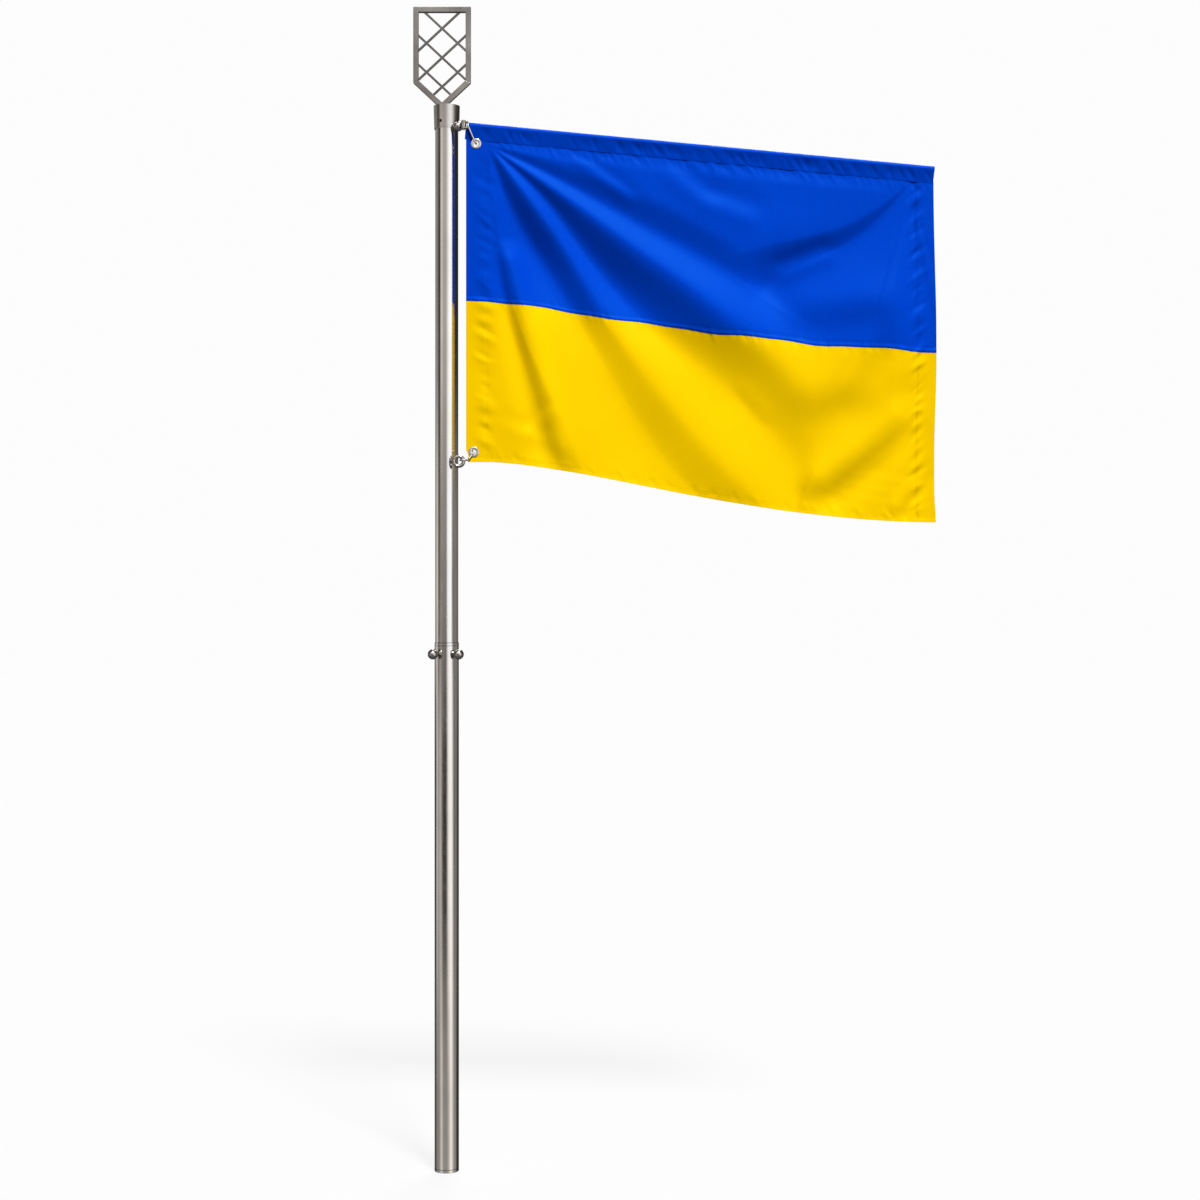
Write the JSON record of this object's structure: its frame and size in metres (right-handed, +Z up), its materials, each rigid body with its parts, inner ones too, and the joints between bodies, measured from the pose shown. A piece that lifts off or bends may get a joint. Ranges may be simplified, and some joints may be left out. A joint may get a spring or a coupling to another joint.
{
  "type": "telescopic display flagpole with flag",
  "caption": "Stainless steel telescopic display flagpole with clamp screws, a shield finial and a two-band flag on a swinging crossbar.",
  "frame": {"origin": "centre of the flat underside of the base cap", "axes": "+Z up the pole, +X along the flag's crossbar, -Y towards the side with the clamp screws and fittings"},
  "size_m": [1.3531, 0.1055, 3.0357],
  "materials": {
    "stainless_tube": "brushed along the tube",
    "stainless_finial": "brushed, welded and ground",
    "bright_steel": "polished",
    "nickel_wire": "nickel plated",
    "dark_fastener": "blackened",
    "end_plug": "moulded",
    "blue_cloth": "satin weave",
    "yellow_cloth": "satin weave"
  },
  "bodies": {
    "lower_section": {"base_cap": "stainless_tube", "lower_tube": "stainless_tube"},
    "clamp_screw_left": {"clamp_screw_left": "bright_steel"},
    "clamp_screw_right": {"clamp_screw_right": "bright_steel"},
    "upper_section": {"upper_tube": "stainless_tube", "finial_collar": "stainless_finial", "collar_set_screw": "dark_fastener", "finial_top_bar": "stainless_finial", "finial_left_bar": "stainless_finial", "finial_right_bar": "stainless_finial", "finial_lower_left_bar": "stainless_finial", "finial_lower_right_bar": "stainless_finial", "finial_lattice": "stainless_finial", "top_stud": "bright_steel", "hinge_pin": "bright_steel", "lower_eye": "bright_steel"},
    "flag_arm": {"crossbar_fork": "bright_steel", "crossbar": "bright_steel", "crossbar_end_cap": "end_plug", "flag_rod_pocket": "blue_cloth", "flag_upper_hoist_hem": "blue_cloth", "flag_lower_hoist_hem": "yellow_cloth", "flag_upper_band": "blue_cloth", "flag_lower_band": "yellow_cloth", "top_grommet": "nickel_wire", "lower_grommet": "nickel_wire", "top_hook": "nickel_wire", "lower_link": "nickel_wire"}
  },
  "joints": [
    {"name": "upper_section_slide", "type": "slide", "parent": "lower_section", "child": "upper_section", "axis": [0, 0, 1], "range_m": [-0.4, 0.1]},
    {"name": "flag_swing", "type": "hinge", "parent": "upper_section", "child": "flag_arm", "pos_m": [0.04677, -0.04677, 2.718], "axis": [0, 0, 1], "range_deg": [-110, 60]},
    {"name": "clamp_screw_left_turn", "type": "hinge", "parent": "lower_section", "child": "clamp_screw_left", "pos_m": [-0.03342, -0.03712, 1.348], "axis": [-0.6691, -0.7431, 0], "range_deg": [0, 360]},
    {"name": "clamp_screw_right_turn", "type": "hinge", "parent": "lower_section", "child": "clamp_screw_right", "pos_m": [0.03342, -0.03712, 1.348], "axis": [0.6691, -0.7431, 0], "range_deg": [0, 360]}
  ]
}
